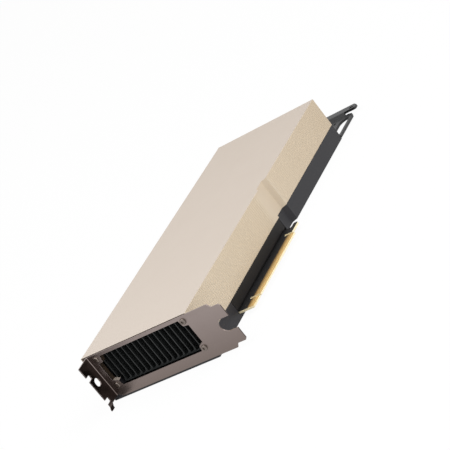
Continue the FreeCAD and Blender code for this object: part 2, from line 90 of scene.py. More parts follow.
def settle(piece):
    # puts the place, turn and size into the mesh, so that the object itself sits at the origin
    activate(piece)
    bpy.ops.object.transform_apply(location=True, rotation=True, scale=True)


def joinPieces(name, pieces):
    # one object of all the pieces; it is the first of them, under the new name
    bpy.ops.object.select_all(action="DESELECT")
    for piece in pieces:
        piece.select_set(True)
    bpy.context.view_layer.objects.active = pieces[0]
    if len(pieces) > 1:
        bpy.ops.object.join()
    pieces[0].name = name
    return pieces[0]


def copyPiece(piece, move, turn=0.0, axis="Z", centre=(0, 0, 0)):
    # a copy with its own mesh, turned about its centre and then moved
    activate(piece)
    bpy.ops.object.duplicate(linked=False)
    twin = bpy.context.active_object
    if turn:
        bpy.ops.transform.rotate(value=turn, orient_axis=axis, center_override=centre)
    bpy.ops.transform.translate(value=move)
    settle(twin)
    return twin


def softenEdges(piece, look):
    # rounds the sharp edges by a real width and keeps the flat faces flat in the light
    bevel = piece.modifiers.new("roundedEdges", "BEVEL")
    bevel.width = look["edgeRounding"] * mm
    bevel.segments = look["edgeSteps"]
    bevel.limit_method = "ANGLE"
    bevel.angle_limit = math.radians(look["sharpFrom"])
    bevel.use_clamp_overlap = False
    applyAll(piece)
    bpy.ops.object.shade_smooth_by_angle(angle=math.radians(look["smoothBelow"]))
    flat = piece.modifiers.new("flatFaces", "WEIGHTED_NORMAL")
    flat.keep_sharp = True
    applyAll(piece)


cleaning = {"mergeWithin": 0.002, "flatWithin": 0.6}  # millimetres and degrees


def copyNode(node, name):
    # a CAD node's shape as one clean mesh, ready to be finished
    piece = bpy.data.objects.new(name, nodes[node].data.copy())
    bpy.context.scene.collection.objects.link(piece)
    activate(piece)
    piece.data.materials.clear()
    bpy.ops.mesh.customdata_custom_splitnormals_clear()
    bpy.ops.object.mode_set(mode="EDIT")
    bpy.ops.mesh.select_all(action="SELECT")
    bpy.ops.mesh.remove_doubles(threshold=cleaning["mergeWithin"] * mm)
    bpy.ops.mesh.dissolve_limited(angle_limit=math.radians(cleaning["flatWithin"]))
    bpy.ops.object.mode_set(mode="OBJECT")
    return piece


def mount(piece, material, slot, *replaced):
    # gives the piece its finish and its place on the card
    if material is not None:
        piece.data.materials.clear()
        piece.data.materials.append(material)
    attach(piece, "root")
    if replaced:
        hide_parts(*replaced)


def finishNode(node, material):
    mesh = nodes[node].data
    mesh.materials.clear()
    mesh.materials.append(material)


def linear(colour):
    # sRGB hex to the linear values that the shaders take
    parts = [int(colour[i:i + 2], 16) / 255 for i in (1, 3, 5)]
    parts = [c / 12.92 if c <= 0.04045 else ((c + 0.055) / 1.055) ** 2.4 for c in parts]
    return (parts[0], parts[1], parts[2], 1.0)


def addNode(tree, kind, settings, links=()):
    # lower-case names are the node's own options, the others its sockets; a hex value is a colour
    node = tree.nodes.new(kind)
    for name, value in settings.items():
        if isinstance(name, str) and name.islower():
            setattr(node, name, value)
        else:
            node.inputs[name].default_value = linear(value) if isinstance(value, str) else value
    for name, source in links:
        tree.links.new(source, node.inputs[name])
    return node


def newFinish(name, settings):
    material = bpy.data.materials.new(name)
    material.use_nodes = True
    tree = material.node_tree
    shader = tree.nodes["Principled BSDF"]
    for socket, value in settings.items():
        shader.inputs[socket].default_value = value
    return material, tree, shader


grainDepth = 0.02  # millimetres, for every blasted, rolled or moulded grain


def perSize(size):
    # noise scale for a grain of this size in millimetres
    return 1.0 / (size * mm)


def facing(tree, place, axis, span):
    # 0 to 1 as the surface turns towards an axis
    way = addNode(tree, "ShaderNodeSeparateXYZ", {}, [(0, place.outputs["Normal"])])
    return addNode(tree, "ShaderNodeMapRange", {"From Min": span[0], "From Max": span[1]},
                   [("Value", way.outputs[axis])]).outputs[0]


def grainBump(tree, shader, spot, look):
    # a fine shallow grain, one size and one depth all over
    fine = addNode(tree, "ShaderNodeTexNoise", {"Scale": perSize(look["grain"]), "Detail": 2.0},
                   [("Vector", spot)])
    bump = addNode(tree, "ShaderNodeBump", {"Strength": look["bump"], "Distance": grainDepth * mm},
                   [("Height", fine.outputs["Fac"])])
    tree.links.new(bump.outputs["Normal"], shader.inputs["Normal"])


def spreadRoughness(tree, shader, source, span):
    spread = addNode(tree, "ShaderNodeMapRange", {"To Min": span[0], "To Max": span[1]}, [("Value", source)])
    tree.links.new(spread.outputs[0], shader.inputs["Roughness"])


def stretchedLines(tree, place, width, length):
    # fine lines along Y, each so wide and so long in millimetres
    across, along = perSize(width), perSize(length)
    stretch = addNode(tree, "ShaderNodeMapping", {"Scale": (across, along, across)},
                      [("Vector", place.outputs["Object"])])
    lines = addNode(tree, "ShaderNodeTexNoise", {"Scale": 1.0, "Detail": 1.0},
                    [("Vector", stretch.outputs[0])])
    return lines.outputs["Fac"]


def blastedGrain(tree, shader, look):
    # slight cloudiness in the colour over a fine shallow grain
    place = addNode(tree, "ShaderNodeTexCoord", {})
    spot = place.outputs["Object"]
    cloud = addNode(tree, "ShaderNodeTexNoise", {"Scale": perSize(look["cloudSize"]), "Detail": 3.0},
                    [("Vector", spot)])
    shade = addNode(tree, "ShaderNodeMix", {"data_type": "RGBA", 6: look["colour"], 7: look["deeper"]},
                    [(0, cloud.outputs["Fac"])]).outputs[2]
    tree.links.new(shade, shader.inputs["Base Color"])
    grainBump(tree, shader, spot, look)
    return place, shade


champagneFinish = {
    # lengths in millimetres, in the card's own frame
    "cover": "#D0C3B6",
    # the far colours are painted shade, darker where the light falls off towards the far end
    "coverShadedFar": "#C5B7A9",
    "wall": "#DCCDB8",
    "wallShadedFar": "#C1AF96",
    # painted shade in the grooves of the flutes
    "grooveShade": "#D2C2A8",
    # painted shade for the inside of the exhaust
    "insideShade": "#4C3D2F",
    "cloudSize": 26,
    "cloudDrift": 90.0,
    "shadeFalloffFrom": -89.0,
    "shadeFalloffTo": 179.0,
    "crestAt": 48.85,
    "valleyAt": 48.3,
    "recessAt": 48.2,
    "insideShadeBelow": -122.0,
    "coverFacing": (0.6, 0.9),
    "grain": 0.35,  # real blasting grit is near 0.1 mm; drawn coarser so that it shows
    "bump": 0.1,
    "metal": 0.3,
    "roughness": (0.52, 0.6),
    "roughPatch": 9,
    "coat": 0.6,
    "coatRoughness": 0.5,
}


def makeChampagneAnodisedAluminium():
    # cast aluminium, bead-blasted and anodised pale gold: matt, with a soft metal glow at low angles
    look = champagneFinish
    material, tree, shader = newFinish("champagneAnodisedAluminium", {
        "Metallic": look["metal"], "Coat Weight": look["coat"], "Coat Roughness": look["coatRoughness"]})
    place = addNode(tree, "ShaderNodeTexCoord", {})
    spot = place.outputs["Object"]
    split = addNode(tree, "ShaderNodeSeparateXYZ", {}, [(0, spot)])

    # painted shade: the colour darkens slowly from the bracket end to the far end, where the light falls off,
    # with slight clouds
    cloud = addNode(tree, "ShaderNodeTexNoise", {"Scale": perSize(look["cloudSize"]), "Detail": 3.0},
                    [("Vector", spot)])
    drift = addNode(tree, "ShaderNodeMath", {"operation": "MULTIPLY_ADD", 1: look["cloudDrift"] * mm},
                    [(0, cloud.outputs["Fac"]), (2, split.outputs["X"])])
    along = addNode(tree, "ShaderNodeMapRange", {
        "From Min": look["shadeFalloffFrom"] * mm, "From Max": look["shadeFalloffTo"] * mm}, [("Value", drift.outputs[0])])
    wall = addNode(tree, "ShaderNodeMix", {"data_type": "RGBA", 6: look["wall"], 7: look["wallShadedFar"]},
                   [(0, along.outputs[0])])
    cover = addNode(tree, "ShaderNodeMix", {"data_type": "RGBA", 6: look["cover"], 7: look["coverShadedFar"]},
                    [(0, along.outputs[0])])

    # painted shade: the grooves of the flutes are painted darker, for the shade in them, on the two long
    # walls only
    reach = addNode(tree, "ShaderNodeMath", {"operation": "ABSOLUTE"}, [(0, split.outputs["Y"])])
    depth = addNode(tree, "ShaderNodeMapRange", {
        "From Min": look["crestAt"] * mm, "From Max": look["valleyAt"] * mm}, [("Value", reach.outputs[0])])
    fluted = addNode(tree, "ShaderNodeMath", {"operation": "GREATER_THAN", 1: look["recessAt"] * mm},
                     [(0, reach.outputs[0])])
    groove = addNode(tree, "ShaderNodeMath", {"operation": "MULTIPLY"},
                     [(0, depth.outputs[0]), (1, fluted.outputs[0])])
    wall = addNode(tree, "ShaderNodeMix", {"data_type": "RGBA", 7: look["grooveShade"]},
                   [(0, groove.outputs[0]), (6, wall.outputs[2])])

    # painted shade: the inside of the exhaust is painted dark brown, for the shade in it
    front = addNode(tree, "ShaderNodeMath", {"operation": "LESS_THAN", 1: look["insideShadeBelow"] * mm},
                    [(0, split.outputs["X"])])
    inside = addNode(tree, "ShaderNodeMath", {"operation": "SUBTRACT"},
                     [(0, front.outputs[0]), (1, fluted.outputs[0])])
    inside.use_clamp = True
    wall = addNode(tree, "ShaderNodeMix", {"data_type": "RGBA", 7: look["insideShade"]},
                   [(0, inside.outputs[0]), (6, wall.outputs[2])])

    # painted reflection: the top face gets a paler, less golden colour than the walls, for the white it
    # mirrors at low angles
    shade = addNode(tree, "ShaderNodeMix", {"data_type": "RGBA"},
                    [(0, facing(tree, place, "Z", look["coverFacing"])),
                     (6, wall.outputs[2]), (7, cover.outputs[2])])
    tree.links.new(shade.outputs[2], shader.inputs["Base Color"])
    grainBump(tree, shader, spot, look)
    patch = addNode(tree, "ShaderNodeTexNoise", {"Scale": perSize(look["roughPatch"]), "Detail": 3.0},
                    [("Vector", spot)])
    spreadRoughness(tree, shader, patch.outputs["Fac"], look["roughness"])
    return material


darkShellFinish = {
    "colour": "#232226", "deeper": "#1E1D21", "cloudSize": 18, "grain": 0.3, "bump": 0.3, "roughness": 0.5,
}


def makeDarkAnodisedAluminium():
    # bead-blasted aluminium, anodised near black: an even grey sheen and no mirror
    look = darkShellFinish
    material, tree, shader = newFinish("darkAnodisedAluminium", {
        "Roughness": look["roughness"], "Specular IOR Level": 0.4})
    blastedGrain(tree, shader, look)
    return material


railFinish = {
    "colour": "#1F1C1B", "deeper": "#191716", "cloudSize": 10, "grain": 0.4, "bump": 0.3, "roughness": 0.6,
}


def makeMattBlackRail():
    # moulded rail with a deep matt black: takes the light from above and little from below
    look = railFinish
    material, tree, shader = newFinish("mattBlackRail", {
        "Roughness": look["roughness"], "Specular IOR Level": 0.25})
    blastedGrain(tree, shader, look)
    return material


darkNickelFinish = {
    # lengths in millimetres
    "colour": "#9C908C",
    "deeper": "#918480",
    # painted shade towards the lower edge, near the floor
    "lowEdgeShade": "#7D716C",
    "highEdgeAt": 34.0,
    "lowEdgeAt": 2.0,
    # painted shade on the inside of the folded flange
    "foldShade": "#4E4542",
    "foldFrom": 2.0,
    "foldFull": 5.0,
    "foldFacing": (-0.8, -0.98),
    "cloudSize": 14,
    "grain": 0.25,
    "bump": 0.18,
    "lineWidth": 0.12,
    "lineLength": 6.0,
    "roughness": (0.26, 0.38),
}


def makeSatinDarkNickel():
    # rolled steel sheet plated in dark nickel: satin, with faint rolling lines along the sheet
    look = darkNickelFinish
    material, tree, shader = newFinish("satinDarkNickel", {"Metallic": 1.0})
    place, shade = blastedGrain(tree, shader, look)
    lines = stretchedLines(tree, place, look["lineWidth"], look["lineLength"])
    spreadRoughness(tree, shader, lines, look["roughness"])
    # painted shade: a little darker towards the lower edge of the sheet, near the floor
    split = addNode(tree, "ShaderNodeSeparateXYZ", {}, [(0, place.outputs["Object"])])
    lower = addNode(tree, "ShaderNodeMapRange", {
        "From Min": look["highEdgeAt"] * mm, "From Max": look["lowEdgeAt"] * mm},
        [("Value", split.outputs["Z"])])
    shade = addNode(tree, "ShaderNodeMix", {"data_type": "RGBA", 7: look["lowEdgeShade"]},
                    [(0, lower.outputs[0]), (6, shade)])
    # and painted shade on the inside of the fold, darker there, but not on the bent tab below it
    above = addNode(tree, "ShaderNodeMapRange", {
        "From Min": look["foldFrom"] * mm, "From Max": look["foldFull"] * mm},
        [("Value", split.outputs["Z"])])
    folded = addNode(tree, "ShaderNodeMath", {"operation": "MULTIPLY"},
                     [(0, facing(tree, place, "Y", look["foldFacing"])), (1, above.outputs[0])])
    shade = addNode(tree, "ShaderNodeMix", {"data_type": "RGBA", 7: look["foldShade"]},
                    [(0, folded.outputs[0]), (6, shade.outputs[2])])
    tree.links.new(shade.outputs[2], shader.inputs["Base Color"])
    return material


finFinish = {
    "colour": "#2A2C2C", "deeper": "#242626", "edgeHighlight": "#303232", "edgeHighlightFacing": (-0.75, -0.98),
    "cloudSize": 8, "grain": 0.2, "bump": 0.15, "roughness": 0.5,
}


def makeBlackAnodisedFins():
    # rolled aluminium, anodised black: almost no colour, a faint sheen, and front edges painted paler as a
    # painted highlight
    look = finFinish
    material, tree, shader = newFinish("blackAnodisedFins", {
        "Roughness": look["roughness"], "Specular IOR Level": 0.35})
    place, shade = blastedGrain(tree, shader, look)
    # painted highlight: faces turned to -X, the front edges, get a paler colour
    shade = addNode(tree, "ShaderNodeMix", {"data_type": "RGBA", 7: look["edgeHighlight"]},
                    [(0, facing(tree, place, "X", look["edgeHighlightFacing"])), (6, shade)])
    tree.links.new(shade.outputs[2], shader.inputs["Base Color"])
    return material


steelFinish = {
    "colour": "#887E78", "deeper": "#716861",
    "cloudSize": 1.2, "grain": 0.15, "bump": 0.12, "roughness": 0.26,
}


def makeNickelPlatedSteel():
    # nickel-plated steel, headed and rolled: a dull grey metal with soft highlights
    look = steelFinish
    material, tree, shader = newFinish("nickelPlatedSteel", {"Metallic": 1.0, "Roughness": look["roughness"]})
    blastedGrain(tree, shader, look)
    return material


laminateFinish = {
    "mask": "#1B1B1C",
    "maskOverCopper": "#222223",
    "bare": "#C9A566",
    "bareBelow": -57.2,  # along Y, on the edge tab, where the mask stops short of the contacts
    "bareTo": -4.7,  # along X, so that the hook keeps its mask
    "fibre": "#FBF1D2",
    "fibreBundle": "#F0E0B4",
    "bundleSize": 0.4,
    "flatFrom": 0.985,
    "traceWidth": 0.5,
    "traceGap": 1.6,
    "traceBend": 9.0,
    "bendSize": 16,
    "traceHeight": 0.03,
    "bump": 0.4,
    "roughness": 0.42,
}


def makeMaskedLaminate():
    # glass-fibre laminate: black solder mask on both faces, raw pale fibre on routed edges
    look = laminateFinish
    material, tree, shader = newFinish("blackMaskedLaminate", {"Roughness": look["roughness"]})
    place = addNode(tree, "ShaderNodeTexCoord", {})
    spot = place.outputs["Object"]
    split = addNode(tree, "ShaderNodeSeparateXYZ", {}, [(0, spot)])

    # copper tracks lift the mask a little, in bands that bend with a slow noise
    bend = addNode(tree, "ShaderNodeTexNoise", {"Scale": perSize(look["bendSize"]), "Detail": 1.0},
                   [("Vector", spot)])
    drift = addNode(tree, "ShaderNodeMath", {"operation": "MULTIPLY_ADD", 1: look["traceBend"] * mm},
                    [(0, bend.outputs["Fac"]), (2, split.outputs["Y"])])
    steps = addNode(tree, "ShaderNodeMath", {"operation": "MULTIPLY", 1: perSize(look["traceGap"])},
                    [(0, drift.outputs[0])])
    part = addNode(tree, "ShaderNodeMath", {"operation": "FRACT"}, [(0, steps.outputs[0])])
    track = addNode(tree, "ShaderNodeMath",
                    {"operation": "LESS_THAN", 1: look["traceWidth"] / look["traceGap"]},
                    [(0, part.outputs[0])])
    mask = addNode(tree, "ShaderNodeMix", {"data_type": "RGBA", 6: look["mask"], 7: look["maskOverCopper"]},
                   [(0, track.outputs[0])])
    bump = addNode(tree, "ShaderNodeBump", {"Strength": look["bump"], "Distance": look["traceHeight"] * mm},
                   [("Height", track.outputs[0])])
    tree.links.new(bump.outputs["Normal"], shader.inputs["Normal"])

    # a strip by the contacts has no mask
    below = addNode(tree, "ShaderNodeMath", {"operation": "LESS_THAN", 1: look["bareBelow"] * mm},
                    [(0, split.outputs["Y"])])
    before = addNode(tree, "ShaderNodeMath", {"operation": "LESS_THAN", 1: look["bareTo"] * mm},
                     [(0, split.outputs["X"])])
    strip = addNode(tree, "ShaderNodeMath", {"operation": "MULTIPLY"},
                    [(0, below.outputs[0]), (1, before.outputs[0])])
    mask = addNode(tree, "ShaderNodeMix", {"data_type": "RGBA", 7: look["bare"]},
                   [(0, strip.outputs[0]), (6, mask.outputs[2])])

    # the routed edges are raw fibre, in small bundles
    bundle = addNode(tree, "ShaderNodeTexNoise", {"Scale": perSize(look["bundleSize"]), "Detail": 3.0},
                     [("Vector", spot)])
    raw = addNode(tree, "ShaderNodeMix", {"data_type": "RGBA", 6: look["fibre"], 7: look["fibreBundle"]},
                  [(0, bundle.outputs["Fac"])])
    way = addNode(tree, "ShaderNodeSeparateXYZ", {}, [(0, place.outputs["Normal"])])
    lift = addNode(tree, "ShaderNodeMath", {"operation": "ABSOLUTE"}, [(0, way.outputs["Z"])])
    flat = addNode(tree, "ShaderNodeMath", {"operation": "GREATER_THAN", 1: look["flatFrom"]},
                   [(0, lift.outputs[0])])
    shade = addNode(tree, "ShaderNodeMix", {"data_type": "RGBA"},
                    [(0, flat.outputs[0]), (6, raw.outputs[2]), (7, mask.outputs[2])])
    tree.links.new(shade.outputs[2], shader.inputs["Base Color"])
    return material


goldFinish = {
    "colour": "#FFE6AC",
    "deeper": "#F6D591",
    # root is painted shade, for the dark rail mirrored near the root of each finger
    "root": "#8F6B3C",
    "tipAt": -61.0,
    "rootAt": -55.6,
    "cloudSize": 3,
    "grain": 0.2,
    "bump": 0.1,
    "scuffLength": 2.4,
    "scuffWidth": 0.08,
    "metal": 0.6,
    "roughness": (0.4, 0.62),
}


def makeHardGold():
    # hard gold over nickel on the edge contacts: warm, satin, with fine insertion scuffs along each finger
    look = goldFinish
    material, tree, shader = newFinish("hardGoldPlate", {"Metallic": look["metal"]})
    place, shade = blastedGrain(tree, shader, look)
    # painted shade: browner towards the root of each finger, for the dark rail it mirrors there
    split = addNode(tree, "ShaderNodeSeparateXYZ", {}, [(0, place.outputs["Object"])])
    root = addNode(tree, "ShaderNodeMapRange", {
        "From Min": look["tipAt"] * mm, "From Max": look["rootAt"] * mm}, [("Value", split.outputs["Y"])])
    shade = addNode(tree, "ShaderNodeMix", {"data_type": "RGBA", 7: look["root"]},
                    [(0, root.outputs[0]), (6, shade)])
    tree.links.new(shade.outputs[2], shader.inputs["Base Color"])
    scuffs = stretchedLines(tree, place, look["scuffWidth"], look["scuffLength"])
    spreadRoughness(tree, shader, scuffs, look["roughness"])
    return material


coatedSteelFinish = {
    "colour": "#262627", "deeper": "#202021", "cloudSize": 12, "grain": 0.6, "bump": 0.35, "roughness": 0.42,
}


def makeBlackCoatedSteel():
    # sheet steel with a black satin coat: fine orange peel and a grey sheen
    look = coatedSteelFinish
    material, tree, shader = newFinish("blackCoatedSteel", {
        "Roughness": look["roughness"], "Specular IOR Level": 0.4})
    blastedGrain(tree, shader, look)
    return material


innerCloudSize = 5  # millimetres

innerFinishes = {
    # name: colour, deeper, metallic, roughness, grain in mm, bump strength
    "milledCopperChamber": ("#B0714F", "#9A5F40", 1.0, 0.35, 0.3, 0.2),
    "polishedSilicon": ("#3B3D44", "#33353B", 0.6, 0.15, 0.5, 0.05),
    "greenBuildUpSubstrate": ("#2F4A33", "#28402C", 0.0, 0.4, 0.4, 0.2),
    "mouldedEpoxyBlack": ("#1B1B1C", "#171718", 0.0, 0.45, 0.2, 0.3),
    "nickelPlatedFrame": ("#A8A39B", "#99948C", 1.0, 0.3, 0.3, 0.15),
    "pressedPowderFerrite": ("#4A4B4D", "#3F4042", 0.2, 0.55, 0.15, 0.5),
    "siliconeThermalPad": ("#7C8590", "#727A84", 0.0, 0.7, 0.25, 0.4),
    "mouldedCapacitorEpoxy": ("#2E2A26", "#25211D", 0.0, 0.4, 0.3, 0.2),
    "glassFilledNylon": ("#18181A", "#131314", 0.0, 0.38, 0.25, 0.35),
    "tinnedTerminal": ("#C9C6BF", "#B4B0A8", 1.0, 0.32, 0.2, 0.2),
    "brownCeramic": ("#8A6A4C", "#7B5C40", 0.0, 0.45, 0.15, 0.2),
    "paleMarkingInk": ("#8F8B84", "#827E77", 0.0, 0.6, 0.2, 0.1),
}


def makeInnerFinish(name):
    # inner pieces: each keeps its own colour, grain and gloss
    colour, deeper, metallic, roughness, grain, bump = innerFinishes[name]
    material, tree, shader = newFinish(name, {"Metallic": metallic, "Roughness": roughness})
    blastedGrain(tree, shader, {
        "colour": colour, "deeper": deeper, "cloudSize": innerCloudSize, "grain": grain, "bump": bump})
    return material


champagne = makeChampagneAnodisedAluminium()
darkShell = makeDarkAnodisedAluminium()
mattRail = makeMattBlackRail()
darkNickel = makeSatinDarkNickel()
blackFins = makeBlackAnodisedFins()
steel = makeNickelPlatedSteel()
laminate = makeMaskedLaminate()
gold = makeHardGold()
coatedSteel = makeBlackCoatedSteel()
inner = {name: makeInnerFinish(name) for name in innerFinishes}
print("materials made")


# sharpFrom is high enough here that the flutes stay crisp
shroudLook = {"edgeRounding": 0.2, "edgeSteps": 2, "sharpFrom": 70, "smoothBelow": 32}

shroud = copyNode("shroud", "flutedShroud")
softenEdges(shroud, shroudLook)
mount(shroud, champagne, "champagne_shell", "shroud")

trayLook = {"edgeRounding": 0.25, "edgeSteps": 2, "sharpFrom": 28, "smoothBelow": 50}

tray = copyNode("base_tray", "baseTray")
softenEdges(tray, trayLook)
mount(tray, darkShell, "dark_shell", "base_tray")

railLook = {"edgeRounding": 0.2, "edgeSteps": 2, "sharpFrom": 28, "smoothBelow": 50}

rail = copyNode("side_rail", "sideRail")
softenEdges(rail, railLook)
mount(rail, mattRail, "dark_rail", "side_rail")

boardLook = {"edgeRounding": 0.05, "edgeSteps": 1, "sharpFrom": 28, "smoothBelow": 30}

board = copyNode("circuit_board", "circuitBoard")
softenEdges(board, boardLook)
mount(board, laminate, "board", "circuit_board")

bracketLook = {"edgeRounding": 0.14, "edgeSteps": 2, "sharpFrom": 28, "smoothBelow": 50}

bracket = copyNode("io_bracket", "slotBracket")
softenEdges(bracket, bracketLook)
mount(bracket, darkNickel, "dark_nickel", "io_bracket")

finLook = {"edgeRounding": 0.15, "edgeSteps": 2, "sharpFrom": 40, "smoothBelow": 50}

fins = copyNode("heat_sink", "finStack")
softenEdges(fins, finLook)
mount(fins, blackFins, "black_anodised", "heat_sink")

extenderLook = {"edgeRounding": 0.25, "edgeSteps": 2, "sharpFrom": 40, "smoothBelow": 50}

extender = copyNode("extender_bracket", "extenderSheet")
softenEdges(extender, extenderLook)
mount(extender, coatedSteel, "dark_sheet", "extender_bracket")
print("shell, board and sheet pieces finished")


screwShape = {
    # shared by every screw; lengths in millimetres
    "sides": 36, "domeSteps": 4, "lobeReach": -0.45, "lobeDepth": 0.78, "floorReach": 0.2, "floorStep": 0.12,
    "shankChamfer": 0.25, "washerEdge": 0.1, "smoothBelow": 40,
}


def addScrew(look, seat, way):
    # one screw: shaped head, six-lobed socket and shank; its axis is X or Z, and way is where the head points
    axis = 0 if abs(way[0]) > 0.5 else 2
    sign = way[axis]
    others = [i for i in range(3) if i != axis]
    high = look["headHigh"] * mm
    radius = look["headWidth"] / 2 * mm
    socket = look["socketWidth"] / 2 * mm
    turn = (0, math.pi / 2, 0) if axis == 0 else (0, 0, 0)
    centre = Vector(seat) + Vector(way) * (high / 2 + look["headLift"] * mm)
    bpy.ops.mesh.primitive_cylinder_add(vertices=screwShape["sides"], radius=radius, depth=high,
                                        location=centre, rotation=turn)
    screw = bpy.context.active_object
    settle(screw)
    outer = centre[axis] + sign * high / 2
    seatLevel = centre[axis] - sign * high / 2
    near = 0.01 * mm

    def fromAxis(point):
        return math.hypot(point[others[0]] - centre[others[0]], point[others[1]] - centre[others[1]])

    def onTop(point, normal):
        return abs(point[axis] - outer) < near and normal[axis] * sign > 0.99

    def drawnIn(point):
        angle = math.atan2(point[others[1]] - centre[others[1]], point[others[0]] - centre[others[0]])
        inSocket = fromAxis(point) < socket + near and abs(point[axis] - outer) < near
        return inSocket and math.cos(6 * angle) < screwShape["lobeReach"]

    startEdit(screw)
    # domed rim
    pick(screw, "EDGE", lambda a, b: abs(a[axis] - outer) < near and abs(b[axis] - outer) < near)
    bpy.ops.mesh.bevel(offset=look["dome"] * mm, segments=screwShape["domeSteps"], affect="EDGES",
                       clamp_overlap=True)
    # socket: the top is inset, some of its points are drawn in between the lobes, and its floor is sunk
    pick(screw, "FACE", onTop)
    bpy.ops.mesh.inset(thickness=radius - look["dome"] * mm - socket)
    pick(screw, "VERT", drawnIn)
    shrink = [screwShape["lobeDepth"]] * 3
    shrink[axis] = 1.0
    bpy.ops.transform.resize(value=shrink, center_override=centre)
    pick(screw, "FACE", lambda c, n: onTop(c, n) and fromAxis(c) < screwShape["floorReach"] * mm)
    sink = [0.0, 0.0, 0.0]
    sink[axis] = -sign * look["socketDepth"] * mm
    bpy.ops.mesh.extrude_region_move(TRANSFORM_OT_translate={"value": sink})
    bpy.ops.mesh.inset(thickness=screwShape["floorStep"] * mm)
    # collar and shank from the underside
    pick(screw, "FACE", lambda c, n: abs(c[axis] - seatLevel) < near and n[axis] * sign < -0.99)
    bpy.ops.mesh.inset(thickness=radius - look["shankWidth"] / 2 * mm)
    shank = [0.0, 0.0, 0.0]
    shank[axis] = -sign * look["shankLength"] * mm
    bpy.ops.mesh.extrude_region_move(TRANSFORM_OT_translate={"value": shank})
    bpy.ops.mesh.bevel(offset=screwShape["shankChamfer"] * mm, segments=1, affect="EDGES")
    endEdit()

    if look["washer"]:
        thick = look["headLift"] * mm
        bpy.ops.mesh.primitive_cylinder_add(vertices=screwShape["sides"], radius=look["washer"] / 2 * mm,
                                            depth=thick, rotation=turn,
                                            location=Vector(seat) + Vector(way) * thick / 2)
        washer = bpy.context.active_object
        settle(washer)
        startEdit(washer)
        rimLevel = seat[axis] + sign * thick
        pick(washer, "EDGE", lambda a, b: abs(a[axis] - rimLevel) < near and abs(b[axis] - rimLevel) < near)
        bpy.ops.mesh.bevel(offset=screwShape["washerEdge"] * mm, segments=2, affect="EDGES")
        endEdit()
        screw = joinPieces(screw.name, [screw, washer])
    activate(screw)
    bpy.ops.object.shade_smooth_by_angle(angle=math.radians(screwShape["smoothBelow"]))
    return screw


def screwRow(name, look, seats, way, node):
    # one screw modelled and the others copied, each turned by its own angle
    first = addScrew(look, seats[0], way)
    axis = "X" if abs(way[0]) > 0.5 else "Z"
    screws = [first]
    for turn, seat in zip(look["turns"], seats[1:]):
        screws.append(copyPiece(first, Vector(seat) - Vector(seats[0]), turn, axis, seats[0]))
    mount(joinPieces(name, screws), steel, "steel_screw", node)


panScrew = {
    # in the frame's box of heads, a screw's axis lies headReach from each side and its seat seatInset deep
    "headReach": 2.2, "seatInset": 1.1,
    "headWidth": 4.4, "headHigh": 0.9, "headLift": 0.2, "washer": 4.9, "dome": 0.55,
    "socketWidth": 2.1, "socketDepth": 0.6, "shankWidth": 2.4, "shankLength": 3.6,
    "turns": [0.35, 0.8, 0.15],
}

low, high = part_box("bracket_screws")
reach = panScrew["headReach"] * mm
faceX = low.x + panScrew["seatInset"] * mm
windowSeats = [(faceX, y, z) for z in (low.z + reach, high.z - reach)
               for y in (low.y + reach, high.y - reach)]
screwRow("bracketPanScrews", panScrew, windowSeats, (-1, 0, 0), "bracket_screws")

low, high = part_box("extender_screws")
faceX = high.x - panScrew["seatInset"] * mm
endSeats = [(faceX, y, (low.z + high.z) / 2) for y in (low.y + reach, high.y - reach)]
screwRow("extenderPanScrews", panScrew, endSeats, (1, 0, 0), "extender_screws")

flatScrew = {
    "headReach": 2.3,
    "headWidth": 4.5, "headHigh": 0.75, "headLift": -0.75, "washer": 0, "dome": 0.15,
    "socketWidth": 2.3, "socketDepth": 0.5, "shankWidth": 2.4, "shankLength": 5.4,
    "turns": [0.5],
}
postScrew = dict(flatScrew, shankLength=19.0)


def seatsBelow(node, axis):
    # two flat heads in the underside, in a row along X (0) or Y (1)
    low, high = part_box(node)
    reach = flatScrew["headReach"] * mm
    first = [low.x + reach, low.y + reach, 0.0]
    second = list(first)
    second[axis] = high[axis] - reach
    return [first, second]


screwRow("boardFlatScrews", flatScrew, seatsBelow("board_screws", 0), (0, 0, -1), "board_screws")
screwRow("shroudFlatScrews", postScrew, seatsBelow("shroud_screws", 1), (0, 0, -1), "shroud_screws")
print("screws made")


capacitorPart = {
    # lengths in millimetres
    "long": 7.3, "wide": 4.3, "high": 4.0, "columns": 2, "rows": 6,
    "edge": 0.35, "terminalInset": 0.7, "terminalDepth": 0.12, "bandShare": 0.24, "smoothBelow": 50,
}


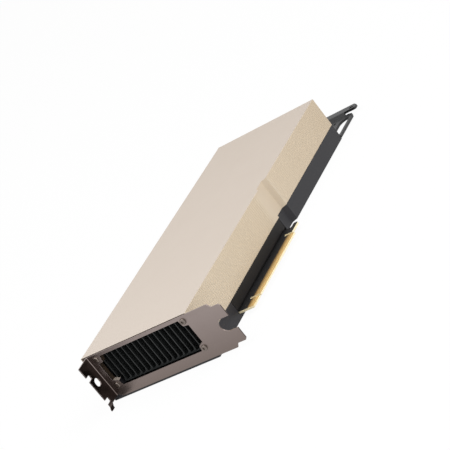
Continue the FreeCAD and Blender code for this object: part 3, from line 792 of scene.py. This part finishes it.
def addCapacitor(corner):
    # moulded chip capacitor: soft edges, a pale polarity band and a tinned terminal at each end
    look = capacitorPart
    size = Vector((look["long"], look["wide"], look["high"])) * mm
    centre = Vector(corner) + size / 2
    bpy.ops.mesh.primitive_cube_add(size=1.0, location=centre, scale=size)
    body = bpy.context.active_object
    settle(body)
    for material in ("mouldedCapacitorEpoxy", "tinnedTerminal", "paleMarkingInk"):
        body.data.materials.append(inner[material])
    top = centre.z + size.z / 2
    near = 0.1 * mm
    startEdit(body)
    pick(body, "EDGE", lambda a, b: (a.z + b.z) / 2 > centre.z - near)
    bpy.ops.mesh.bevel(offset=look["edge"] * mm, segments=2, affect="EDGES")
    bpy.ops.mesh.select_all(action="SELECT")
    band = centre.x - size.x / 2 + size.x * look["bandShare"]
    bpy.ops.mesh.bisect(plane_co=(band, centre.y, centre.z), plane_no=(1, 0, 0))
    pick(body, "FACE", lambda c, n: c.x < band and n.z > 0.9 and c.z > top - near)
    body.active_material_index = 2
    bpy.ops.object.material_slot_assign()
    for side in (-1, 1):
        pick(body, "FACE", lambda c, n: n.x * side > 0.95 and abs(c.x - centre.x) > size.x * 0.45)
        bpy.ops.mesh.inset(thickness=look["terminalInset"] * mm)
        bpy.ops.mesh.extrude_region_move(
            TRANSFORM_OT_translate={"value": (side * -look["terminalDepth"] * mm, 0, 0)})
        body.active_material_index = 1
        bpy.ops.object.material_slot_assign()
    endEdit()
    bpy.ops.object.shade_smooth_by_angle(angle=math.radians(look["smoothBelow"]))
    return body


low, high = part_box("capacitors")
firstCapacitor = addCapacitor(low)
stepX = (high.x - low.x - capacitorPart["long"] * mm) / (capacitorPart["columns"] - 1)
stepY = (high.y - low.y - capacitorPart["wide"] * mm) / (capacitorPart["rows"] - 1)
capacitors = [firstCapacitor]
for column in range(capacitorPart["columns"]):
    for row in range(capacitorPart["rows"]):
        if column or row:
            capacitors.append(copyPiece(firstCapacitor, (column * stepX, row * stepY, 0)))
mount(joinPieces("capacitorBank", capacitors), None, "can", "capacitors")


chipPart = {
    # a column of chips beside the capacitors and a row before them, in millimetres;
    # the column starts from the bank's corner, and the row is a shift from the column's first chip
    "long": 1.6, "wide": 0.8, "high": 0.7, "terminal": 0.3, "edge": 0.08, "terminalSwell": 1.06,
    "columnStart": (-3.2, -2.0), "columnPitch": 2.3, "columnCount": 14,
    "rowShift": (3.4, -4.5), "rowPitch": 2.4, "rowCount": 8,
}
controllerPart = {
    "long": 5.0, "wide": 4.0, "high": 1.3, "stand": 0.1, "edge": 0.2,
    "leads": 4, "leadPitch": 1.27, "leadSize": (0.45, 0.4, 0.18),
    "leadOut": 0.15, "leadSlope": 0.25, "leadFoot": 0.5,
    "place": (3.0, -12.0), "second": 56.0,  # the second one this much further along Y
}


def addChip(centre):
    # ceramic chip part with a tinned cap at each end
    look = chipPart
    size = Vector((look["long"], look["wide"], look["high"])) * mm
    middle = Vector(centre) + Vector((0, 0, size.z / 2))
    bpy.ops.mesh.primitive_cube_add(size=1.0, location=middle, scale=size)
    chip = bpy.context.active_object
    settle(chip)
    chip.data.materials.append(inner["brownCeramic"])
    chip.data.materials.append(inner["tinnedTerminal"])
    startEdit(chip)
    bpy.ops.mesh.select_all(action="SELECT")
    bpy.ops.mesh.bevel(offset=look["edge"] * mm, segments=1, affect="EDGES")
    for side in (-1, 1):
        cut = centre[0] + side * (size.x / 2 - look["terminal"] * mm)
        bpy.ops.mesh.select_all(action="SELECT")
        bpy.ops.mesh.bisect(plane_co=(cut, centre[1], centre[2]), plane_no=(1, 0, 0))
    pick(chip, "FACE", lambda c, n: abs(c.x - centre[0]) > size.x / 2 - look["terminal"] * mm)
    chip.active_material_index = 1
    bpy.ops.object.material_slot_assign()
    bpy.ops.transform.resize(value=(1.0, look["terminalSwell"], 1.0), center_override=centre)
    endEdit()
    return chip


def addController(centre):
    # small moulded controller with gull-wing leads on two sides
    look = controllerPart
    size = Vector((look["long"], look["wide"], look["high"])) * mm
    middle = Vector(centre) + Vector((0, 0, size.z / 2 + look["stand"] * mm))
    bpy.ops.mesh.primitive_cube_add(size=1.0, location=middle, scale=size)
    body = bpy.context.active_object
    settle(body)
    body.data.materials.append(inner["mouldedEpoxyBlack"])
    body.data.materials.append(inner["tinnedTerminal"])
    startEdit(body)
    pick(body, "EDGE", lambda a, b: True)
    bpy.ops.mesh.bevel(offset=look["edge"] * mm, segments=2, affect="EDGES")
    endEdit()
    parts = [body]
    for side in (-1, 1):
        for i in range(look["leads"]):
            across = (i - (look["leads"] - 1) / 2) * look["leadPitch"] * mm
            outside = side * (size.y / 2 + look["leadOut"] * mm)
            start = Vector((middle.x + across, middle.y + outside, middle.z))
            leadSize = Vector(look["leadSize"]) * mm
            bpy.ops.mesh.primitive_cube_add(size=1.0, location=start, scale=leadSize)
            lead = bpy.context.active_object
            settle(lead)
            lead.data.materials.append(inner["mouldedEpoxyBlack"])
            lead.data.materials.append(inner["tinnedTerminal"])
            startEdit(lead)
            # down to the board, then out along it
            pick(lead, "FACE", lambda c, n: n.y * side > 0.9)
            drop = centre[2] + leadSize.z / 2 - start.z
            for out, down in ((look["leadSlope"], drop), (look["leadFoot"], 0)):
                bpy.ops.mesh.extrude_region_move(
                    TRANSFORM_OT_translate={"value": (0, side * out * mm, down)})
            bpy.ops.mesh.select_all(action="SELECT")
            lead.active_material_index = 1
            bpy.ops.object.material_slot_assign()
            endEdit()
            parts.append(lead)
    return joinPieces("controller", parts)


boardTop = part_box("circuit_board")[1].z
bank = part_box("capacitors")[0]


def onBoard(place):
    # a point on the board, given in millimetres from the capacitor bank's corner
    return Vector((bank.x + place[0] * mm, bank.y + place[1] * mm, boardTop))


firstChip = addChip(onBoard(chipPart["columnStart"]))
smallParts = [firstChip]
for i in range(1, chipPart["columnCount"]):
    smallParts.append(copyPiece(firstChip, (0, i * chipPart["columnPitch"] * mm, 0)))
for i in range(chipPart["rowCount"]):
    alongRow = chipPart["rowShift"][0] + i * chipPart["rowPitch"]
    smallParts.append(copyPiece(firstChip, (alongRow * mm, chipPart["rowShift"][1] * mm, 0)))
firstController = addController(onBoard(controllerPart["place"]))
smallParts.append(firstController)
smallParts.append(copyPiece(firstController, (0, controllerPart["second"] * mm, 0)))
mount(joinPieces("boardSmallParts", smallParts), None, "package_black")
print("board parts made")


inletLook = {"edgeRounding": 0.2, "edgeSteps": 2, "sharpFrom": 28, "smoothBelow": 50}

powerInlet = copyNode("power_inlet", "powerInlet")
softenEdges(powerInlet, inletLook)
mount(powerInlet, inner["glassFilledNylon"], "black_plastic", "power_inlet")

finishNode("edge_contacts_front", gold)
finishNode("edge_contacts_back", gold)
finishNode("cooler_screws", steel)
finishNode("processor_substrate", inner["greenBuildUpSubstrate"])
finishNode("processor_die", inner["polishedSilicon"])
finishNode("memory_stacks", inner["mouldedEpoxyBlack"])
finishNode("package_frame", inner["nickelPlatedFrame"])
finishNode("vapour_chamber", inner["milledCopperChamber"])
finishNode("inductors", inner["pressedPowderFerrite"])
finishNode("thermal_pads", inner["siliconeThermalPad"])
finishNode("power_stages", inner["mouldedEpoxyBlack"])
finishNode("inlet_pins", gold)
print("pieces finished")


floorLook = {"size": 14.0, "drop": 0.2, "paper": "#FFFFFF", "backgroundShare": 0.955}


def seenShare(tree):
    # 1 for what the camera sees straight or mirrored, so that the paper is as white in metal as beside it
    path = addNode(tree, "ShaderNodeLightPath", {})
    seen = addNode(tree, "ShaderNodeMath", {"operation": "MAXIMUM"},
                   [(0, path.outputs["Is Camera Ray"]), (1, path.outputs["Is Glossy Ray"])])
    return path, seen.outputs[0]


def addFloor():
    bpy.ops.mesh.primitive_plane_add(size=floorLook["size"], location=(0, 0, -floorLook["drop"] * mm))
    floor = bpy.context.active_object
    floor.name = "studioFloor"
    material = bpy.data.materials.new("paleStudioFloor")
    material.use_nodes = True
    tree = material.node_tree
    tree.nodes.clear()
    paper = addNode(tree, "ShaderNodeBsdfDiffuse", {"Color": linear(floorLook["paper"])})
    glow = addNode(tree, "ShaderNodeEmission", {"Color": (1, 1, 1, 1), "Strength": 1.0})
    share = addNode(tree, "ShaderNodeMath", {"operation": "MULTIPLY", 1: floorLook["backgroundShare"]},
                    [(0, seenShare(tree)[1])])
    mix = addNode(tree, "ShaderNodeMixShader", {},
                  [(0, share.outputs[0]), (1, paper.outputs[0]), (2, glow.outputs[0])])
    addNode(tree, "ShaderNodeOutputMaterial", {}, [("Surface", mix.outputs[0])])
    floor.data.materials.append(material)


studioLights = {
    # places and sizes in metres, power in watts
    "ambient": 0.42,
    "aim": (0, 0, 0.02),
    "overheadSoftbox": {"place": (-0.7, 0.1, 1.4), "size": (1.2, 1.0), "power": 10.0},
    "keySoftbox": {"place": (0.75, -2.5, 2.25), "size": (2.2, 2.2), "power": 62.0},
}


def addWorld():
    world = bpy.data.worlds.new("softStudio")
    bpy.context.scene.world = world
    world.use_nodes = True
    tree = world.node_tree
    tree.nodes.clear()
    path, seen = seenShare(tree)
    seenThrough = addNode(tree, "ShaderNodeMath", {"operation": "MAXIMUM"},
                          [(0, seen), (1, path.outputs["Is Transmission Ray"])])
    strength = addNode(tree, "ShaderNodeMapRange", {"To Min": studioLights["ambient"], "To Max": 1.0},
                       [("Value", seenThrough.outputs[0])])
    sky = addNode(tree, "ShaderNodeBackground", {"Color": (1, 1, 1, 1)}, [("Strength", strength.outputs[0])])
    addNode(tree, "ShaderNodeOutputWorld", {}, [("Surface", sky.outputs[0])])


def addSoftLight(name):
    look = studioLights[name]
    lamp = bpy.data.lights.new(name, "AREA")
    lamp.shape = "RECTANGLE"
    lamp.size, lamp.size_y = look["size"]
    lamp.energy = look["power"]
    light = bpy.data.objects.new(name, lamp)
    bpy.context.scene.collection.objects.link(light)
    light.location = look["place"]
    toAim = Vector(studioLights["aim"]) - Vector(look["place"])
    light.rotation_euler = toAim.to_track_quat("-Z", "Y").to_euler()


darkCard = {"size": (0.5, 0.3), "corner": (-0.1425, 0.0365), "turn": 141.5, "drop": 0.1, "tone": "#4A4644"}


def addDarkCard():
    # a dark card on the floor before the bracket, seen only in reflections: it shades one end of the plating
    long, wide = darkCard["size"]
    turn = math.radians(darkCard["turn"])
    middle = Vector((darkCard["corner"][0], darkCard["corner"][1], -darkCard["drop"] * mm))
    middle += Vector((math.cos(turn), math.sin(turn), 0)) * long / 2
    middle += Vector((math.sin(turn), -math.cos(turn), 0)) * wide / 2
    bpy.ops.mesh.primitive_plane_add(size=1.0, location=middle, rotation=(0, 0, turn))
    card = bpy.context.active_object
    card.name = "darkStudioCard"
    card.scale = (long, wide, 1)
    material, tree, shader = newFinish("darkStudioCard", {"Base Color": linear(darkCard["tone"])})
    card.data.materials.append(material)
    card.visible_camera = False
    card.visible_diffuse = False
    card.visible_shadow = False
    card.visible_transmission = False


cameraView = {
    # place, aim, lens and sensor in millimetres, roll in degrees, clip in metres
    "place": (-937.1, -754.4, 390.9),
    "aim": (23.52, 4.87, 20.0),
    "roll": -38.54,
    "lens": 141.23,
    "sensor": 36.0,
    "clip": (0.01, 50.0),
}


def addCamera():
    place = Vector(cameraView["place"]) * mm
    aim = Vector(cameraView["aim"]) * mm
    level = (aim - place).to_track_quat("-Z", "Y")
    lens = bpy.data.cameras.new("cardCamera")
    lens.lens = cameraView["lens"]
    lens.sensor_width = cameraView["sensor"]
    lens.clip_start, lens.clip_end = cameraView["clip"]
    camera = bpy.data.objects.new("cardCamera", lens)
    bpy.context.scene.collection.objects.link(camera)
    camera.location = place
    camera.rotation_euler = (level @ Quaternion((0, 0, 1), math.radians(cameraView["roll"]))).to_euler()
    bpy.context.scene.camera = camera


addFloor()
addWorld()
addDarkCard()
addSoftLight("overheadSoftbox")
addSoftLight("keySoftbox")
addCamera()
bpy.context.scene.view_settings.view_transform = "Standard"
print("stage set")
